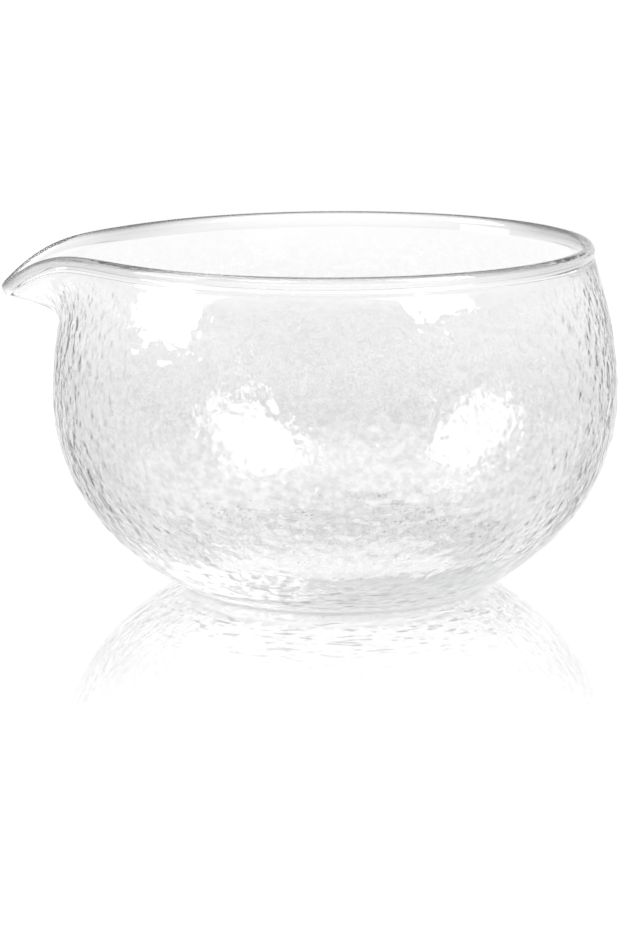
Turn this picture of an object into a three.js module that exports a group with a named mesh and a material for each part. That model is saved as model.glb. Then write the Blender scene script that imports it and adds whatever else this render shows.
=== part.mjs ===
// Spouted bowl of clear hammered glass, formed as one piece.
// Millimetres, +Z up. The origin is the centre of the flat underside, and the spout points to -X.
import * as THREE from 'three';

// Body
const BELLY_RADIUS = 62; // widest circle of the outside
const BELLY_HEIGHT = 41.7; // height of that circle above the table
const FOOT_RADIUS = 33.5; // circle where the wall would meet the table with a sharp edge
const FOOT_EDGE_RISE = 1.8; // height over which the flat foot turns into the wall
const CREASE_HEIGHT = 72.4; // height of the crease between the wall and the lip
const RIM_TUCK = 5.8; // how far the wall draws in from the belly to the crease
const WALL_THICKNESS = 2.2;
const BASE_THICKNESS = 4;
const HEEL_RISE = 12; // height at which the thick base has thinned to the wall

// Lip: a fire-polished bead that runs round the rim and out along the spout
const LIP_HEIGHT = 3.2; // crease to the top of the bead
const LIP_BULGE = 0.4; // how far the bead stands proud of each face of the wall

// Spout: the hot wall is pulled out and down, so it fades into the body on all sides
const SPOUT_REACH = 15.2; // how far the crease is drawn out at the tip
const SPOUT_DROP = 8.4; // how far the crease sinks at the tip
const SPOUT_SPREAD = 9.2; // distance round the rim over which the pull dies away
const SPOUT_NECK = 14.8; // depth below the crease at which the spout leaves the wall
const SPOUT_WALL = 1.3; // wall left at the tip
const SPOUT_LIP_HEIGHT = 2; // bead left at the tip
const RIM_DIP = 0.5; // slight slope of the whole rim down to the spout

// Facets
const COLUMNS = 88; // sections round the bowl
const SPOUT_CROWDING = 0.75; // 0 spaces the sections evenly, towards 1 draws them to the spout
const FOOT_EDGE_ROWS = 3;
const LOWER_WALL_ROWS = 7;
const UPPER_WALL_ROWS = 13;
const LIP_ROWS = 8;
const STEP = 1e-3; // small step for slopes

// Outside section of the turned bowl, from the edge of the flat foot up to the crease
function outsideCurves() {
  const lowerRise = BELLY_HEIGHT / Math.sqrt(1 - (FOOT_RADIUS / BELLY_RADIUS) ** 2);
  const start = Math.asin((FOOT_EDGE_RISE - BELLY_HEIGHT) / lowerRise);
  const lowerWall = new THREE.EllipseCurve(0, BELLY_HEIGHT, BELLY_RADIUS, lowerRise, start, 0);

  // The foot edge is tangent to the table and to the wall where it ends.
  const edgeEnd = lowerWall.getPoint(0);
  const wallSlope = lowerWall.getTangent(0);
  const corner = new THREE.Vector2(edgeEnd.x - (edgeEnd.y * wallSlope.x) / wallSlope.y, 0);
  const edgeStart = new THREE.Vector2(corner.x - corner.distanceTo(edgeEnd), 0);
  const footEdge = new THREE.QuadraticBezierCurve(edgeStart, corner, edgeEnd);

  const upperWall = new THREE.QuadraticBezierCurve(
    new THREE.Vector2(BELLY_RADIUS, BELLY_HEIGHT),
    new THREE.Vector2(BELLY_RADIUS, (BELLY_HEIGHT + CREASE_HEIGHT) / 2),
    new THREE.Vector2(BELLY_RADIUS - RIM_TUCK, CREASE_HEIGHT),
  );
  return [
    [footEdge, FOOT_EDGE_ROWS],
    [lowerWall, LOWER_WALL_ROWS],
    [upperWall, UPPER_WALL_ROWS],
  ];
}

function stationAt(curve, part) {
  return { point: curve.getPointAt(part), along: curve.getTangentAt(part) };
}

// Points along that section with their directions. Each curve leaves its last point to the next one.
function outsideStations() {
  const curves = outsideCurves();
  const stations = curves.flatMap(([curve, rows]) =>
    Array.from({ length: rows }, (unused, row) => stationAt(curve, row / rows)),
  );
  const [lastCurve] = curves.at(-1);
  return [...stations, stationAt(lastCurve, 1)];
}

// Share of the pull at an angle round the bowl, 1 in the middle of the spout
function pullShare(angle) {
  const distance = angle * (BELLY_RADIUS - RIM_TUCK);
  return 1 / Math.cosh(distance / SPOUT_SPREAD);
}

// Share of the pull at a height, 0 below the neck and 1 at the crease
function pullClimb(height) {
  return Math.max(0, 1 + (height - CREASE_HEIGHT) / SPOUT_NECK);
}

// Where a point of the turned outside lies after the spout is pulled
function pulledPoint(radius, height, angle) {
  const share = pullShare(angle);
  const climb = pullClimb(height);
  const reach = radius + SPOUT_REACH * share * climb ** 2;
  const dip = (RIM_DIP * (1 + Math.cos(angle))) / 2;
  const drop = (SPOUT_DROP * share ** 2 + dip) * climb;
  return new THREE.Vector3(-reach * Math.cos(angle), reach * Math.sin(angle), height - drop);
}

// Point, upward direction and outward normal of the pulled outside
function outsideFrame({ point, along }, angle) {
  const upper = pulledPoint(point.x + STEP * along.x, point.y + STEP * along.y, angle);
  const lower = pulledPoint(point.x - STEP * along.x, point.y - STEP * along.y, angle);
  const before = pulledPoint(point.x, point.y, angle - STEP);
  const after = pulledPoint(point.x, point.y, angle + STEP);
  const up = upper.sub(lower).normalize();
  const normal = new THREE.Vector3().crossVectors(up, after.sub(before)).normalize();
  return { origin: pulledPoint(point.x, point.y, angle), up, normal };
}

function thickness(height, angle) {
  const base = 1 - THREE.MathUtils.smoothstep(height, 0, HEEL_RISE);
  const pull = pullShare(angle) * pullClimb(height);
  return WALL_THICKNESS + (BASE_THICKNESS - WALL_THICKNESS) * base + (SPOUT_WALL - WALL_THICKNESS) * pull;
}

// The inside follows the outside at the thickness of the glass.
function insidePoint(station, angle) {
  const { origin, normal } = outsideFrame(station, angle);
  return origin.addScaledVector(normal, -thickness(station.point.y, angle));
}

// Bead over the open edge of the wall. It stands midway between the wall's own direction and upright.
function lipPoint(edge, angle, turn) {
  const { origin: outer, up } = outsideFrame(edge, angle);
  const inner = insidePoint(edge, angle);
  const share = pullShare(angle);
  const height = LIP_HEIGHT + (SPOUT_LIP_HEIGHT - LIP_HEIGHT) * share;
  const crease = Math.acos(WALL_THICKNESS / (WALL_THICKNESS + 2 * LIP_BULGE));
  const bearing = -crease + turn * (Math.PI + 2 * crease);
  const across = Math.cos(bearing) / Math.cos(crease);
  const rise = (Math.sin(bearing) + Math.sin(crease)) / (1 + Math.sin(crease));

  const middle = outer.clone().add(inner).multiplyScalar(0.5);
  const halfWall = outer.clone().sub(inner).multiplyScalar(0.5);
  const axis = up.add(new THREE.Vector3(0, 0, 1)).normalize();
  return middle.addScaledVector(halfWall, across).addScaledVector(axis, height * rise);
}

// Closed skin through rings of points, with a fan at each end
function closedSkin(firstPole, rings, lastPole) {
  const columns = rings[0].length;
  const positions = [firstPole, ...rings.flat(), lastPole].flatMap((point) => point.toArray());
  const lastIndex = rings.length * columns + 1;
  const index = (ring, column) => 1 + ring * columns + (column % columns);
  const triangles = [];
  for (let column = 0; column < columns; column += 1) {
    triangles.push(0, index(0, column), index(0, column + 1));
    for (let ring = 0; ring + 1 < rings.length; ring += 1) {
      const near = index(ring, column);
      const nextNear = index(ring, column + 1);
      const far = index(ring + 1, column);
      const nextFar = index(ring + 1, column + 1);
      triangles.push(near, far, nextNear, far, nextFar, nextNear);
    }
    triangles.push(index(rings.length - 1, column), lastIndex, index(rings.length - 1, column + 1));
  }
  const skin = new THREE.BufferGeometry();
  skin.setAttribute('position', new THREE.Float32BufferAttribute(positions, 3));
  skin.setIndex(triangles);
  skin.computeVertexNormals();
  return skin;
}

// Angles round the bowl, half a turn each way from the middle of the spout and crowded together there
function sectionAngles() {
  return Array.from({ length: COLUMNS }, (unused, column) => {
    const even = Math.PI * ((2 * column) / COLUMNS - 1);
    return even - SPOUT_CROWDING * Math.sin(even);
  });
}

function bowlGeometry() {
  const angles = sectionAngles();
  const stations = outsideStations();
  const edge = stations.at(-1);
  const ring = (pointAt) => angles.map(pointAt);

  const outside = stations.map((station) => ring((angle) => outsideFrame(station, angle).origin));
  const lip = Array.from({ length: LIP_ROWS - 1 }, (unused, row) =>
    ring((angle) => lipPoint(edge, angle, (row + 1) / LIP_ROWS)),
  );
  const inside = stations.toReversed().map((station) => ring((angle) => insidePoint(station, angle)));

  const underside = new THREE.Vector3(0, 0, 0);
  const floor = new THREE.Vector3(0, 0, BASE_THICKNESS);
  return closedSkin(underside, [...outside, ...lip, ...inside], floor);
}

const clearGlass = new THREE.MeshStandardMaterial({
  color: 0xf3f5f5,
  roughness: 0.06,
  metalness: 0,
  transparent: true,
  opacity: 0.35,
});

const bowl = new THREE.Mesh(bowlGeometry(), clearGlass);
bowl.name = 'glass_bowl';

const spoutedBowl = new THREE.Group();
spoutedBowl.add(bowl);

export default spoutedBowl;
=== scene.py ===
"""Looks of a spouted bowl of clear hammered glass, in a plain studio. Metres, in the frame of the solids."""
import math

import bpy
import numpy as np
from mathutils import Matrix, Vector, noise


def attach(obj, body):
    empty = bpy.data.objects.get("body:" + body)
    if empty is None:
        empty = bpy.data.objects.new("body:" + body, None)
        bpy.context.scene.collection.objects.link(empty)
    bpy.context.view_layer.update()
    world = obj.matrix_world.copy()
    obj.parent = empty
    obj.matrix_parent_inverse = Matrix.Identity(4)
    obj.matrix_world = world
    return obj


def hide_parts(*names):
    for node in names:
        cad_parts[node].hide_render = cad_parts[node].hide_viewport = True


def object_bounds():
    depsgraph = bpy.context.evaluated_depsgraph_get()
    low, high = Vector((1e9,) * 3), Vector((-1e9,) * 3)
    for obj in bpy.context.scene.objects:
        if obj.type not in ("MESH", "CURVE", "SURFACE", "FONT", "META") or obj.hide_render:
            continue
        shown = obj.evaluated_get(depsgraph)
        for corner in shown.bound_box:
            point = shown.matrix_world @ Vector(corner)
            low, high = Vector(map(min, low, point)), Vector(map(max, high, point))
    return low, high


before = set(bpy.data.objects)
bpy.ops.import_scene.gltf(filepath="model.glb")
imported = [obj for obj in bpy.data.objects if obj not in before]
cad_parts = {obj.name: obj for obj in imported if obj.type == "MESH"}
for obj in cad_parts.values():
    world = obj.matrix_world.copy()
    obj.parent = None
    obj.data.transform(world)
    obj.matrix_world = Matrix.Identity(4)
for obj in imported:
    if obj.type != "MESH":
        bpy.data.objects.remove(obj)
cad_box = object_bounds()

# Body of the bowl, as in the solid
BELLY_RADIUS = 0.062
BELLY_HEIGHT = 0.0417
FOOT_RADIUS = 0.0335
FOOT_EDGE_RISE = 0.0018
CREASE_HEIGHT = 0.0724
RIM_TUCK = 0.0058
WALL_THICKNESS = 0.0022
BASE_THICKNESS = 0.004
HEEL_RISE = 0.012

# Lip bead
LIP_HEIGHT = 0.0032
LIP_BULGE = 0.0004

# Pulled spout
SPOUT_REACH = 0.0152
SPOUT_DROP = 0.0084
SPOUT_SPREAD = 0.0092
SPOUT_NECK = 0.0148
SPOUT_WALL = 0.0013
SPOUT_LIP_HEIGHT = 0.002
RIM_DIP = 0.0005

# Hammer marks of the outside, all cut inwards from the solid's surface
DENT_SPACING = 0.0024
DENT_DEPTH = 0.0002
RIPPLE_LENGTH = 0.0045
RIPPLE_DEPTH = 0.00022
WAVE_LENGTH = 0.012
WAVE_DEPTH = 0.0002
SMOOTH_BAND = 0.005  # height below the crease over which the marks fade out
SMOOTH_FOOT = 0.0012  # height above the table over which they fade in

# Softer waves of the inside and of the underside
INSIDE_WAVE_LENGTH = 0.011
INSIDE_WAVE_DEPTH = 0.00012
UNDERSIDE_HOLLOW = 0.0003
UNDERSIDE_WAVE_LENGTH = 0.006
UNDERSIDE_WAVE_DEPTH = 0.00012
UNDERSIDE_MARKS = 1  # share of the wall's fine unevenness that the underside has

# Where painted shade greys the clear glass, by height above the table. A share of 1 is the full painted
# shade.
PAINTED_SHADE_START = 0.004  # the wall's painted shade grows from here up to the next height, then pales towards the crease
PAINTED_SHADE_FULL = 0.029
PAINTED_SHADE_AT_FOOT = 0.3
PAINTED_SHADE_AT_CREASE = 0.12
PAINTED_SHADE_LIP_FADE = 0.0004  # height below the crease over which the wall's painted shade ends
PAINTED_OUTLINES_AT_FOOT = 0.3  # share of the painted dark outlines, painted shade at the glass's edges, left at the foot
PAINTED_OUTLINES_FULL = 0.023  # height at which they are full
PAINTED_BEAD_SIDE = 0.25  # share of the painted shade of the bead's top that its sides have
PAINTED_FOOT_LINE = 1  # share of that painted shade at the edge of the foot, a painted dark line
PAINTED_FOOT_LINE_END = 0.0005
PAINTED_HEEL_STREAKS = 0.003  # height up to which the painted shade in fine level streaks above the foot is full
PAINTED_HEEL_END = 0.011

# Fineness of the mesh
COLUMNS = 600
SPOUT_CROWDING = 0.5  # 0 spaces the columns evenly, towards 1 draws them to the spout
OUTSIDE_ROWS = 118
LIP_ROWS = 16
INSIDE_ROWS = 36
BASE_RINGS = 9
BASE_SHARES = np.linspace(0, 1, BASE_RINGS + 2)[1:-1]  # rings between the middle of the base and its edge
SECTION_SAMPLES = 4000
STEP = 1e-6  # small step for slopes

# Glass. Scales are of noise, and greys, the painted shade of the clear glass, are pairs of position and
# level.
GLASS_IOR = 1.47
DEPTH_COLOUR = (0.8, 0.81, 0.81, 1)
DEPTH_DENSITY = 5
GRAIN_SCALE = 620  # fine unevenness of the hammered skin
GRAIN_DETAIL = 0
GRAIN_HEIGHT = 0.00009
GRAIN_ROUGHNESS = 0.02
PAINTED_WALL_SCALE = 600  # lighter and darker patches of the wall's painted shade
PAINTED_WALL_DETAIL = 2
PAINTED_WALL_GREYS = ((0.36, 0.52), (0.64, 0.71))
OUTLINE_STREAK_SCALE = 360  # relief, used only for the painted dark outlines, that breaks them into streaks
OUTLINE_STREAK_DETAIL = 1
OUTLINE_STREAK_HEIGHT = 0.0014
PAINTED_OUTLINE_GREYS = ((0.3, 1), (0.55, 0.92), (0.78, 0.6), (0.95, 0.03))
PAINTED_BEAD_GREYS = ((0.02, 1), (0.45, 0.05))
HEEL_SCALE = 260  # painted shade in level streaks above the foot
HEEL_DETAIL = 1.5
HEEL_STRETCH = 6  # how much closer they lie up the wall than round it
PAINTED_HEEL_GREYS = ((0.57, 1), (0.66, 0.12))
WHITE = (1, 1, 1, 1)
MIX_FIRST = 6  # sockets of a Mix node for colours
MIX_SECOND = 7
MIX_RESULT = 2
EVEN_BLEND = 0.5  # lets Facing go evenly from face on to edge on

# Floor. Distances are from the middle of the bowl.
FLOOR_SIZE = 12
FLOOR_GAP = 0.0001
FLOOR_COLOUR = (0.3, 0.3, 0.3, 1)
FLOOR_LIFT = 0.85  # level of the floor's own light
SHADOW_RING_LIFT = 0.8  # the same in a ring under the edge of the foot, a painted contact shadow
SHADOW_RING_INNER = (0.0285, 0.0315)
SHADOW_RING_OUTER = (0.0325, 0.037)
PAINTED_THROUGH_GLASS_DIM = 0.08  # how much lower the level is where the floor is seen through the glass, painted shade in the glass
MIRROR_START = 0.03
MIRROR_FULL = 0.034
MIRROR_END = 0.26
MIRROR_SHARE = 2  # before it weakens with the view; the mix of shaders stops at 1
MIRROR_FALL = 4  # how quickly the mirror weakens away from a level view
MIRROR_ROUGHNESS = 0.03
PLAIN_START = 0.12
PLAIN_END = 0.5

# Light
SKY_LEVELS = ((0.25, 1), (0.42, 0.3), (0.6, 0.3), (0.8, 1.3))  # sine of the elevation, and brightness there
SOFTBOX_DISTANCE = 1.0
SOFTBOX_RADIANCE = 6
SOFTBOX_LEFT = (-78, 32)  # degrees to the right of the camera's side, and up
SOFTBOX_LEFT_SIZE = (0.53, 0.69)
SOFTBOX_RIGHT = (50, 45)
SOFTBOX_RIGHT_SIZE = (0.5, 0.74)
MOST_BOUNCES = 64
GLASS_BOUNCES = 48

# Camera: the lens and place that give the photographed view
IMAGE_WIDTH = 621
IMAGE_HEIGHT = 931
CAMERA_DISTANCE = 0.8
CAMERA_ELEVATION = math.radians(9.98)
AIM_HEIGHT = 0.04
AIM_PIXEL = (335.1, 400.6)
PIXELS_PER_METRE = 4568
SENSOR = 0.036
MILLIMETRES = 1000  # in a metre, for the lens


def smoothstep(value, low, high):
    share = np.clip((value - low) / (high - low), 0, 1)
    return share * share * (3 - 2 * share)


def outside_section(rows):
    """Radius, height and direction at points along the outside, from the edge of the foot to the crease."""
    lower_rise = BELLY_HEIGHT / math.sqrt(1 - (FOOT_RADIUS / BELLY_RADIUS) ** 2)
    start = math.asin((FOOT_EDGE_RISE - BELLY_HEIGHT) / lower_rise)
    turn = np.linspace(start, 0, SECTION_SAMPLES)
    lower_wall = np.stack([BELLY_RADIUS * np.cos(turn), BELLY_HEIGHT + lower_rise * np.sin(turn)], 1)

    # The foot edge is tangent to the table and to the wall.
    edge_end = lower_wall[0]
    run = -BELLY_RADIUS * math.sin(start) / (lower_rise * math.cos(start))
    corner = np.array([edge_end[0] - edge_end[1] * run, 0])
    edge_start = np.array([corner[0] - np.linalg.norm(edge_end - corner), 0])
    share = np.linspace(0, 1, SECTION_SAMPLES)[:, None]
    foot_edge = (1 - share) ** 2 * edge_start + 2 * share * (1 - share) * corner + share**2 * edge_end

    tuck = BELLY_RADIUS - RIM_TUCK * share**2
    climb = BELLY_HEIGHT + (CREASE_HEIGHT - BELLY_HEIGHT) * share
    upper_wall = np.hstack([tuck, climb])

    line = np.vstack([foot_edge[:-1], lower_wall[:-1], upper_wall])
    length = np.concatenate([[0], np.cumsum(np.linalg.norm(np.diff(line, axis=0), axis=1))])
    stations = np.linspace(0, length[-1], rows)
    place = np.stack([np.interp(stations, length, line[:, k]) for k in range(2)], 1)
    slope = np.gradient(line, length, axis=0)
    along = np.stack([np.interp(stations, length, slope[:, k]) for k in range(2)], 1)
    return np.hstack([place, along])


def pull_share(angle):
    """Share of the pull at an angle round the bowl, 1 in the middle of the spout."""
    return 1 / np.cosh(angle * (BELLY_RADIUS - RIM_TUCK) / SPOUT_SPREAD)


def pull_climb(height):
    """Share of the pull at a height, 0 below the neck and 1 at the crease."""
    return np.maximum(0, 1 + (height - CREASE_HEIGHT) / SPOUT_NECK)


def pulled(radius, height, angle):
    """Where points of the turned outside lie after the spout is pulled."""
    share = pull_share(angle)
    climb = pull_climb(height)
    reach = radius + SPOUT_REACH * share * climb**2
    dip = RIM_DIP * (1 + np.cos(angle)) / 2
    drop = (SPOUT_DROP * share**2 + dip) * climb
    return np.stack([-reach * np.cos(angle), reach * np.sin(angle), height - drop], -1)


def unit(vectors):
    return vectors / np.linalg.norm(vectors, axis=-1, keepdims=True)


def outside_frame(section, angles):
    """Points, upward directions and outward normals of the pulled outside, row by row."""
    radius, height, out, up = (section[:, [k]] for k in range(4))
    angle = angles[None, :]
    origin = pulled(radius, height, angle)
    above = pulled(radius + STEP * out, height + STEP * up, angle)
    below = pulled(radius - STEP * out, height - STEP * up, angle)
    around = pulled(radius, height, angle + STEP) - pulled(radius, height, angle - STEP)
    upward = unit(above - below)
    return origin, upward, unit(np.cross(upward, around))


def thickness(height, angle):
    base = 1 - smoothstep(height, 0, HEEL_RISE)
    pull = pull_share(angle) * pull_climb(height)
    return WALL_THICKNESS + (BASE_THICKNESS - WALL_THICKNESS) * base + (SPOUT_WALL - WALL_THICKNESS) * pull


def sampled(points, field):
    """A field of one point, taken at every point of a grid."""
    flat = points.reshape(-1, 3)
    return np.array([field(Vector(point)) for point in flat]).reshape(points.shape[:-1])


def swell(point, length):
    """Smooth noise from 0 to 1 with waves of a length."""
    return 0.5 + 0.5 * noise.noise(point / length)


def hammer_depth(point):
    """Depth of the hammer marks: round hollows with soft ridges between them, on longer ripples and waves."""
    nearest = noise.voronoi(point / DENT_SPACING)[0][0]
    hollow = max(0, 1 - nearest**2)
    ripple = swell(point, RIPPLE_LENGTH)
    wave = swell(point, WAVE_LENGTH)
    return DENT_DEPTH * hollow + RIPPLE_DEPTH * ripple + WAVE_DEPTH * wave


def inside_depth(point):
    return INSIDE_WAVE_DEPTH * swell(point, INSIDE_WAVE_LENGTH)


def underside_depth(point):
    return UNDERSIDE_WAVE_DEPTH * swell(point, UNDERSIDE_WAVE_LENGTH)


def lip_rings(outer, inner, upward, angles):
    """Rings of the fire-polished bead over the open edge, from the outside to the inside."""
    crease = math.acos(WALL_THICKNESS / (WALL_THICKNESS + 2 * LIP_BULGE))
    share = pull_share(angles)[:, None]
    height = LIP_HEIGHT + (SPOUT_LIP_HEIGHT - LIP_HEIGHT) * share
    axis = unit(upward + np.array([0, 0, 1]))
    middle = (outer + inner) / 2
    half_wall = (outer - inner) / 2
    rings = []
    for row in range(1, LIP_ROWS):
        bearing = -crease + row / LIP_ROWS * (math.pi + 2 * crease)
        across = math.cos(bearing) / math.cos(crease)
        rise = (math.sin(bearing) + math.sin(crease)) / (1 + math.sin(crease))
        rings.append(middle + half_wall * across + axis * height * rise)
    return rings


def inside_rings(angles):
    """Rings of the inside, from its foot up. It follows the outside at the thickness of the glass."""
    section = outside_section(INSIDE_ROWS)
    heights = section[:, [1]]
    skin, _, normal = outside_frame(section, angles)
    inside = skin - normal * thickness(heights, angles[None, :])[..., None]
    calm = smoothstep(CREASE_HEIGHT - heights, 0, SMOOTH_BAND)
    return inside + normal * (calm * sampled(inside, inside_depth))[..., None]


def underside_rings(edge):
    """Rings of the slightly hollow underside, from near its middle out towards the edge of the foot."""
    rings = []
    for share in BASE_SHARES:
        ring = edge * share
        ring[:, 2] += (UNDERSIDE_HOLLOW + sampled(ring, underside_depth)) * (1 - share**2)
        rings.append(ring)
    return rings


def inner_floor_rings(edge):
    """Rings of the inner floor, from the foot of the inside in towards the middle."""
    rings = []
    for share in BASE_SHARES[::-1]:
        ring = edge * share
        ring[:, 2] = edge[:, 2] * share + BASE_THICKNESS * (1 - share)
        rings.append(ring)
    return rings


def outside_painted_shade_shares(section):
    """How strongly each row of the outside has each kind of painted shade, and its way up the wall from the
    foot.
    """
    heights = section[:, 1]
    above_foot = smoothstep(heights, 0, SMOOTH_FOOT)
    body = above_foot * smoothstep(CREASE_HEIGHT - heights, 0, PAINTED_SHADE_LIP_FADE)
    upper = 1 - (1 - PAINTED_SHADE_AT_CREASE) * smoothstep(heights, PAINTED_SHADE_FULL, CREASE_HEIGHT)
    lower = PAINTED_SHADE_AT_FOOT + (1 - PAINTED_SHADE_AT_FOOT) * smoothstep(heights, PAINTED_SHADE_START, PAINTED_SHADE_FULL)
    painted_outlines = PAINTED_OUTLINES_AT_FOOT + (1 - PAINTED_OUTLINES_AT_FOOT) * smoothstep(heights, 0, PAINTED_OUTLINES_FULL)
    steps = np.linalg.norm(np.diff(section[:, :2], axis=0), axis=1)
    return {
        # wall: painted shade greying the clear wall, paler at the foot and towards the crease
        "wall": body * upper * lower,
        # edge: painted shade, dark outlines where the glass is seen edge on
        "edge": body * painted_outlines,
        # bead: painted dark line at the edge of the foot, the same painted shade as on the lip bead
        "bead": PAINTED_FOOT_LINE * (1 - smoothstep(heights, 0, PAINTED_FOOT_LINE_END)),
        # heel: painted shade in level streaks above the foot
        "painted_heel_streaks": above_foot * (1 - smoothstep(heights, PAINTED_HEEL_STREAKS, PAINTED_HEEL_END)),
        "climb": np.concatenate([[0], np.cumsum(steps)]),
    }


def painted_bead_shares():
    """Painted shade of the rings of the lip bead, full on its top."""
    turns = np.arange(1, LIP_ROWS) / LIP_ROWS
    return PAINTED_BEAD_SIDE + (1 - PAINTED_BEAD_SIDE) * np.sin(math.pi * turns) ** 2


def bowl_rings():
    """Rings from the middle of the underside, up the outside, over the lip and down to the inner floor.

    With them come the shares that the glass reads, most of them for its painted shade, a value or a row of
    values for each ring.
    """
    even = np.linspace(-math.pi, math.pi, COLUMNS, endpoint=False)
    angles = even - SPOUT_CROWDING * np.sin(even)
    section = outside_section(OUTSIDE_ROWS)
    skin, upward, normal = outside_frame(section, angles)
    heights = section[:, [1]]
    smooth_spout = 1 - pull_share(angles)[None, :] * np.sqrt(pull_climb(heights))
    fades = smoothstep(heights, 0, SMOOTH_FOOT) * smoothstep(CREASE_HEIGHT - heights, 0, SMOOTH_BAND)
    marks = fades * smooth_spout
    outside = skin - normal * (marks * sampled(skin, hammer_depth))[..., None]

    inner_edge = skin[-1] - normal[-1] * thickness(section[-1, 1], angles)[:, None]
    lip = lip_rings(skin[-1], inner_edge, upward[-1], angles)
    inside = inside_rings(angles[::2])
    underside = underside_rings(skin[0, ::2])
    inner_floor = inner_floor_rings(inside[0])
    rings = underside + list(outside) + lip + list(inside[::-1]) + inner_floor

    below = [0] * len(underside)
    on_lip = [0] * len(lip)
    within = [0] * (len(inside) + len(inner_floor))
    shares = {"hammered": [UNDERSIDE_MARKS] * len(underside) + list(marks) + on_lip + within}
    for name, values in outside_painted_shade_shares(section).items():
        shares[name] = below + list(values) + on_lip + within
    lip_start = len(underside) + len(outside)
    # the lip bead's painted shade, dark where the bead is seen edge on
    shares["bead"][lip_start:lip_start + len(lip)] = painted_bead_shares()
    return rings, shares


def stitch(first, first_count, second, second_count):
    """Faces between two rings, given by first vertex and count. One may have twice the other's count."""
    faces = []
    if first_count == second_count:
        for k in range(first_count):
            after = (k + 1) % first_count
            faces.append((first + k, second + k, second + after, first + after))
        return faces
    fine_first = first_count > second_count
    fine, coarse = (first, second) if fine_first else (second, first)
    count = min(first_count, second_count)
    for k in range(count):
        after = (k + 1) % count
        left, middle, right = (fine + (2 * k + step) % (2 * count) for step in range(3))
        one = coarse + k
        other = coarse + after
        fan = [(left, one, middle), (middle, one, other), (middle, other, right)]
        faces.extend(fan if fine_first else [face[::-1] for face in fan])
    return faces


def bowl_mesh():
    """Closed skin through the rings, with a fan at each end and the shares at its points."""
    rings, shares = bowl_rings()
    under_middle = np.array([[0, 0, UNDERSIDE_HOLLOW]])
    floor_middle = np.array([[0, 0, BASE_THICKNESS]])
    points = np.clip(np.vstack([under_middle, *rings, floor_middle]), cad_box[0], cad_box[1])
    starts = 1 + np.concatenate([[0], np.cumsum([len(ring) for ring in rings])])
    faces = []
    last = len(points) - 1
    for k in range(len(rings[0])):
        faces.append((0, 1 + k, 1 + (k + 1) % len(rings[0])))
    for number, (ring, after) in enumerate(zip(rings, rings[1:])):
        faces.extend(stitch(int(starts[number]), len(ring), int(starts[number + 1]), len(after)))
    end = int(starts[len(rings) - 1])
    for k in range(len(rings[-1])):
        faces.append((end + k, last, end + (k + 1) % len(rings[-1])))

    mesh = bpy.data.meshes.new("hammered_bowl")
    mesh.from_pydata(points.tolist(), [], faces)
    mesh.shade_smooth()
    for name, rows in shares.items():
        values = np.concatenate([[0], *[np.broadcast_to(s, len(r)) for s, r in zip(rows, rings)], [0]])
        attribute = mesh.attributes.new(name, "FLOAT", "POINT")
        attribute.data.foreach_set("value", values.astype(np.float32))
    return mesh


def node(tree, kind, **settings):
    made = tree.nodes.new(kind)
    for name, value in settings.items():
        setattr(made, name, value)
    return made


def worked_out(tree, operation, first, second):
    """Result of an operation on two values, each a number or a socket."""
    made = node(tree, "ShaderNodeMath", operation=operation)
    for socket, value in zip(made.inputs, (first, second)):
        if isinstance(value, (int, float)):
            socket.default_value = value
        else:
            tree.links.new(value, socket)
    return made.outputs["Value"]


def grey_ramp(tree, value, greys, interpolation="LINEAR"):
    """Grey that follows a value through pairs of position and level."""
    made = node(tree, "ShaderNodeValToRGB")
    made.color_ramp.interpolation = interpolation
    stops = made.color_ramp.elements
    first, *middle, last = greys
    for stop, (position, level) in zip(list(stops), (first, last)):
        stop.position = position
        stop.color = (level, level, level, 1)
    for position, level in middle:
        stops.new(position).color = (level, level, level, 1)
    tree.links.new(value, made.inputs["Fac"])
    return made.outputs["Color"]


def noise_texture(tree, place, scale, detail):
    made = node(tree, "ShaderNodeTexNoise")
    made.inputs["Scale"].default_value = scale
    made.inputs["Detail"].default_value = detail
    tree.links.new(place, made.inputs["Vector"])
    return made.outputs["Fac"]


def bump(tree, height, distance, strength):
    made = node(tree, "ShaderNodeBump")
    made.inputs["Distance"].default_value = distance
    tree.links.new(height, made.inputs["Height"])
    tree.links.new(strength, made.inputs["Strength"])
    return made.outputs["Normal"]


def facing(tree, normal=None):
    """0 where the surface is seen face on and 1 where it is seen edge on."""
    made = node(tree, "ShaderNodeLayerWeight")
    made.inputs["Blend"].default_value = EVEN_BLEND
    if normal is not None:
        tree.links.new(normal, made.inputs["Normal"])
    return made.outputs["Facing"]


def mesh_share(tree, name):
    """A share that the mesh holds at its points."""
    return node(tree, "ShaderNodeAttribute", attribute_name=name).outputs["Fac"]


def heel_place(tree, place):
    """Places with the way up the wall stretched, so that noise taken there lies in level streaks of painted
    shade.
    """
    parts = node(tree, "ShaderNodeSeparateXYZ")
    tree.links.new(place, parts.inputs["Vector"])
    made = node(tree, "ShaderNodeCombineXYZ")
    tree.links.new(parts.outputs["X"], made.inputs["X"])
    tree.links.new(parts.outputs["Y"], made.inputs["Y"])
    tree.links.new(worked_out(tree, "MULTIPLY", mesh_share(tree, "climb"), HEEL_STRETCH), made.inputs["Z"])
    return made.outputs["Vector"]


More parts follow.
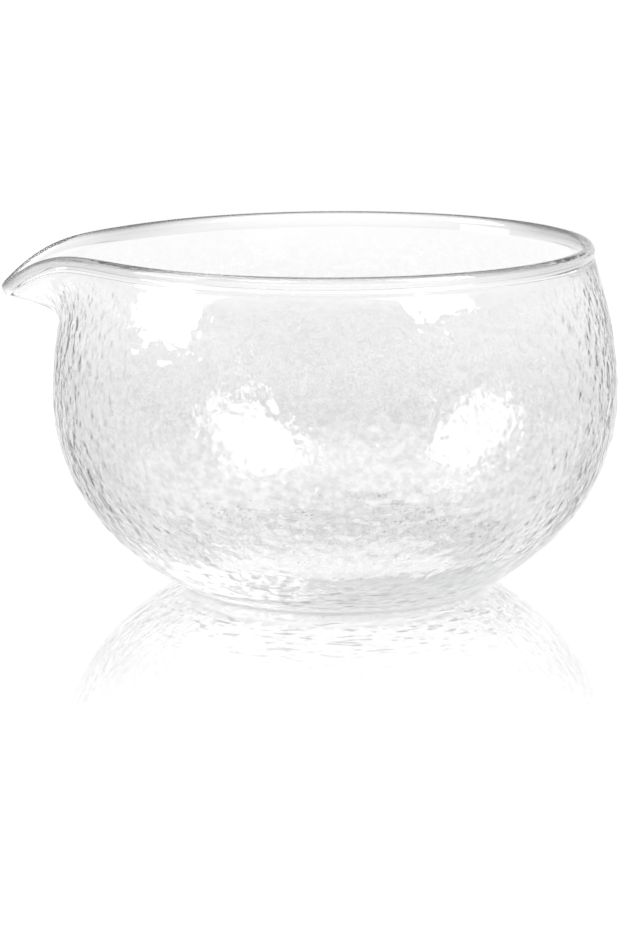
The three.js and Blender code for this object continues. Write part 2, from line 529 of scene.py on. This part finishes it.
def painted_glass_shade(tree, place, hammered):
    """White, multiplied by each painted shade as far as the mesh's share of it says."""
    streaks = noise_texture(tree, place, OUTLINE_STREAK_SCALE, OUTLINE_STREAK_DETAIL)
    outline_relief = bump(tree, streaks, OUTLINE_STREAK_HEIGHT, hammered)
    painted_wall_noise = noise_texture(tree, place, PAINTED_WALL_SCALE, PAINTED_WALL_DETAIL)
    painted_heel_streaks = noise_texture(tree, heel_place(tree, place), HEEL_SCALE, HEEL_DETAIL)
    # Each grey is painted shade in the clear glass: wall, dark outlines, bead and foot line, streaks above
    # the foot
    greys = {
        # painted shade of the wall, lighter and darker in patches
        "wall": grey_ramp(tree, painted_wall_noise, PAINTED_WALL_GREYS),
        # painted shade: darker where the glass is seen edge on
        "edge": grey_ramp(tree, facing(tree, outline_relief), PAINTED_OUTLINE_GREYS),
        # painted shade of the bead and the foot line, dark where seen edge on
        "bead": grey_ramp(tree, facing(tree), PAINTED_BEAD_GREYS),
        # painted shade in level streaks above the foot
        "painted_heel_streaks": grey_ramp(tree, painted_heel_streaks, PAINTED_HEEL_GREYS),
    }
    colour = None
    for name, grey in greys.items():
        made = node(tree, "ShaderNodeMix", data_type="RGBA", blend_type="MULTIPLY")
        tree.links.new(mesh_share(tree, name), made.inputs["Factor"])
        if colour is None:
            made.inputs[MIX_FIRST].default_value = WHITE
        else:
            tree.links.new(colour, made.inputs[MIX_FIRST])
        tree.links.new(grey, made.inputs[MIX_SECOND])
        colour = made.outputs[MIX_RESULT]
    return colour


def glass_material():
    """Clear glass, faintly grey in its depth and finely uneven where hammered, with painted shade in its
    wall, outlines, bead and streaks.
    """
    material = bpy.data.materials.new("hammered_glass")
    material.use_nodes = True
    tree = material.node_tree
    tree.nodes.clear()
    output = node(tree, "ShaderNodeOutputMaterial")
    shader = node(tree, "ShaderNodeBsdfPrincipled")
    shader.inputs["Transmission Weight"].default_value = 1
    shader.inputs["IOR"].default_value = GLASS_IOR
    tree.links.new(shader.outputs["BSDF"], output.inputs["Surface"])

    depth = node(tree, "ShaderNodeVolumeAbsorption")
    depth.inputs["Color"].default_value = DEPTH_COLOUR
    depth.inputs["Density"].default_value = DEPTH_DENSITY
    tree.links.new(depth.outputs["Volume"], output.inputs["Volume"])

    place = node(tree, "ShaderNodeTexCoord").outputs["Object"]
    hammered = mesh_share(tree, "hammered")
    grain = noise_texture(tree, place, GRAIN_SCALE, GRAIN_DETAIL)
    tree.links.new(bump(tree, grain, GRAIN_HEIGHT, hammered), shader.inputs["Normal"])
    tree.links.new(worked_out(tree, "MULTIPLY", grain, GRAIN_ROUGHNESS), shader.inputs["Roughness"])
    tree.links.new(painted_glass_shade(tree, place, hammered), shader.inputs["Base Color"])
    return material


def bowl():
    piece = bpy.data.objects.new("hammered_bowl", bowl_mesh())
    bpy.context.scene.collection.objects.link(piece)
    piece.data.materials.append(glass_material())
    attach(piece, "root")
    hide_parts("glass_bowl")


def seen_rays(tree):
    """1 for rays of the camera and for those that are mirrored or go through glass, else 0."""
    path = node(tree, "ShaderNodeLightPath")
    seen = path.outputs["Is Camera Ray"]
    for ray in ("Is Glossy Ray", "Is Transmission Ray"):
        seen = worked_out(tree, "MAXIMUM", seen, path.outputs[ray])
    return seen


def fade(tree, distance, start, end, first, last):
    """A value that goes from first to last as the distance grows."""
    made = node(tree, "ShaderNodeMapRange", interpolation_type="SMOOTHSTEP")
    for name, value in (("From Min", start), ("From Max", end), ("To Min", first), ("To Max", last)):
        made.inputs[name].default_value = value
    tree.links.new(distance, made.inputs["Value"])
    return made.outputs["Result"]


def mixed_shaders(tree, share, first, second):
    made = node(tree, "ShaderNodeMixShader")
    tree.links.new(share, made.inputs["Fac"])
    tree.links.new(first, made.inputs[1])
    tree.links.new(second, made.inputs[2])
    return made.outputs["Shader"]


def floor_level(tree, distance, through):
    """The floor's own light: painted light under the foot, a painted contact shadow at the edge of the foot,
    and painted shade where it is seen through the glass.
    """
    # painted light under the foot, falling to a painted contact shadow round its edge
    inner = fade(tree, distance, *SHADOW_RING_INNER, 1, SHADOW_RING_LIFT)
    outer = fade(tree, distance, *SHADOW_RING_OUTER, 0, FLOOR_LIFT - SHADOW_RING_LIFT)
    # painted shade where the floor is seen through the glass
    dim = worked_out(tree, "MULTIPLY", fade(tree, distance, *SHADOW_RING_OUTER, 0, PAINTED_THROUGH_GLASS_DIM), through)
    return worked_out(tree, "SUBTRACT", worked_out(tree, "ADD", inner, outer), dim)


def mirror_share(tree, distance, through):
    """Strength of the mirror: near the bowl, in a level view, and not where it is seen through the glass."""
    start = fade(tree, distance, MIRROR_START, MIRROR_FULL, 0, MIRROR_SHARE)
    end = fade(tree, distance, MIRROR_FULL, MIRROR_END, 1, 0)
    glance = worked_out(tree, "POWER", facing(tree), MIRROR_FALL)
    share = worked_out(tree, "MULTIPLY", worked_out(tree, "MULTIPLY", start, end), glance)
    return worked_out(tree, "MULTIPLY", share, worked_out(tree, "SUBTRACT", 1, through))


def floor_material():
    """White floor that takes the bowl's shadow and mirrors it, with painted light under the foot and a
    painted contact shadow round it, and turns into plain white further out.
    """
    material = bpy.data.materials.new("white_floor")
    material.use_nodes = True
    tree = material.node_tree
    place = node(tree, "ShaderNodeTexCoord")
    reach = node(tree, "ShaderNodeVectorMath", operation="LENGTH")
    tree.links.new(place.outputs["Object"], reach.inputs[0])
    distance = reach.outputs["Value"]
    seen = seen_rays(tree)
    through = node(tree, "ShaderNodeLightPath").outputs["Is Transmission Ray"]

    near = tree.nodes["Principled BSDF"]
    near.inputs["Base Color"].default_value = FLOOR_COLOUR
    near.inputs["Specular IOR Level"].default_value = 0
    near.inputs["Emission Color"].default_value = WHITE
    level = floor_level(tree, distance, through)
    tree.links.new(worked_out(tree, "MULTIPLY", seen, level), near.inputs["Emission Strength"])

    mirror = node(tree, "ShaderNodeBsdfGlossy")
    mirror.inputs["Color"].default_value = WHITE
    mirror.inputs["Roughness"].default_value = MIRROR_ROUGHNESS
    share = mirror_share(tree, distance, through)
    sheen = mixed_shaders(tree, share, near.outputs["BSDF"], mirror.outputs["BSDF"])

    far = node(tree, "ShaderNodeEmission")
    tree.links.new(seen, far.inputs["Strength"])
    plain = fade(tree, distance, PLAIN_START, PLAIN_END, 0, 1)
    whole = mixed_shaders(tree, plain, sheen, far.outputs["Emission"])
    tree.links.new(whole, tree.nodes["Material Output"].inputs["Surface"])
    return material


def floor():
    half = FLOOR_SIZE / 2
    mesh = bpy.data.meshes.new("floor")
    corners = [(-half, -half, 0), (half, -half, 0), (half, half, 0), (-half, half, 0)]
    mesh.from_pydata(corners, [], [(0, 1, 2, 3)])
    piece = bpy.data.objects.new("floor", mesh)
    piece.location.z = -FLOOR_GAP
    bpy.context.scene.collection.objects.link(piece)
    mesh.materials.append(floor_material())


def direction(azimuth, elevation):
    """Direction at an angle from the camera's side, to the right and up."""
    side, lift = math.radians(azimuth), math.radians(elevation)
    return Vector((math.sin(side) * math.cos(lift), -math.cos(side) * math.cos(lift), math.sin(lift)))


def softbox(name, bearing, size):
    """Rectangular lamp that faces the bowl and lights it from a bearing."""
    width, height = size
    lamp = bpy.data.lights.new(name, "AREA")
    lamp.shape = "RECTANGLE"
    lamp.size = width
    lamp.size_y = height
    lamp.energy = SOFTBOX_RADIANCE * math.pi * width * height
    holder = bpy.data.objects.new(name, lamp)
    bpy.context.scene.collection.objects.link(holder)
    aim = Vector((0, 0, AIM_HEIGHT))
    holder.location = aim + SOFTBOX_DISTANCE * direction(*bearing)
    holder.rotation_euler = (aim - holder.location).to_track_quat("-Z", "Y").to_euler()
    holder.visible_camera = False


def studio_world():
    """White near the horizon and overhead, with a greyer band between them."""
    world = bpy.data.worlds.new("studio")
    bpy.context.scene.world = world
    world.use_nodes = True
    tree = world.node_tree
    place = node(tree, "ShaderNodeTexCoord")
    parts = node(tree, "ShaderNodeSeparateXYZ")
    tree.links.new(place.outputs["Generated"], parts.inputs["Vector"])
    sky = grey_ramp(tree, parts.outputs["Z"], SKY_LEVELS, "EASE")
    tree.links.new(sky, tree.nodes["Background"].inputs["Color"])


def light_paths():
    """Light bounces many times inside the thick base before it comes out."""
    paths = bpy.context.scene.cycles
    paths.max_bounces = MOST_BOUNCES
    paths.glossy_bounces = GLASS_BOUNCES
    paths.transmission_bounces = GLASS_BOUNCES


def camera():
    lens = bpy.data.cameras.new("camera")
    longest = max(IMAGE_WIDTH, IMAGE_HEIGHT)
    lens.sensor_width = SENSOR * MILLIMETRES
    lens.lens = PIXELS_PER_METRE * CAMERA_DISTANCE / longest * SENSOR * MILLIMETRES
    lens.shift_x = (IMAGE_WIDTH / 2 - AIM_PIXEL[0]) / longest
    lens.shift_y = (AIM_PIXEL[1] - IMAGE_HEIGHT / 2) / longest
    holder = bpy.data.objects.new("camera", lens)
    bpy.context.scene.collection.objects.link(holder)
    aim = Vector((0, 0, AIM_HEIGHT))
    away = Vector((0, -math.cos(CAMERA_ELEVATION), math.sin(CAMERA_ELEVATION)))
    holder.location = aim + CAMERA_DISTANCE * away
    holder.rotation_euler = (-away).to_track_quat("-Z", "Y").to_euler()
    bpy.context.scene.camera = holder


camera()
studio_world()
floor()
softbox("softbox_left", SOFTBOX_LEFT, SOFTBOX_LEFT_SIZE)
softbox("softbox_right", SOFTBOX_RIGHT, SOFTBOX_RIGHT_SIZE)
bowl()
light_paths()
bpy.context.scene.view_settings.view_transform = "Standard"
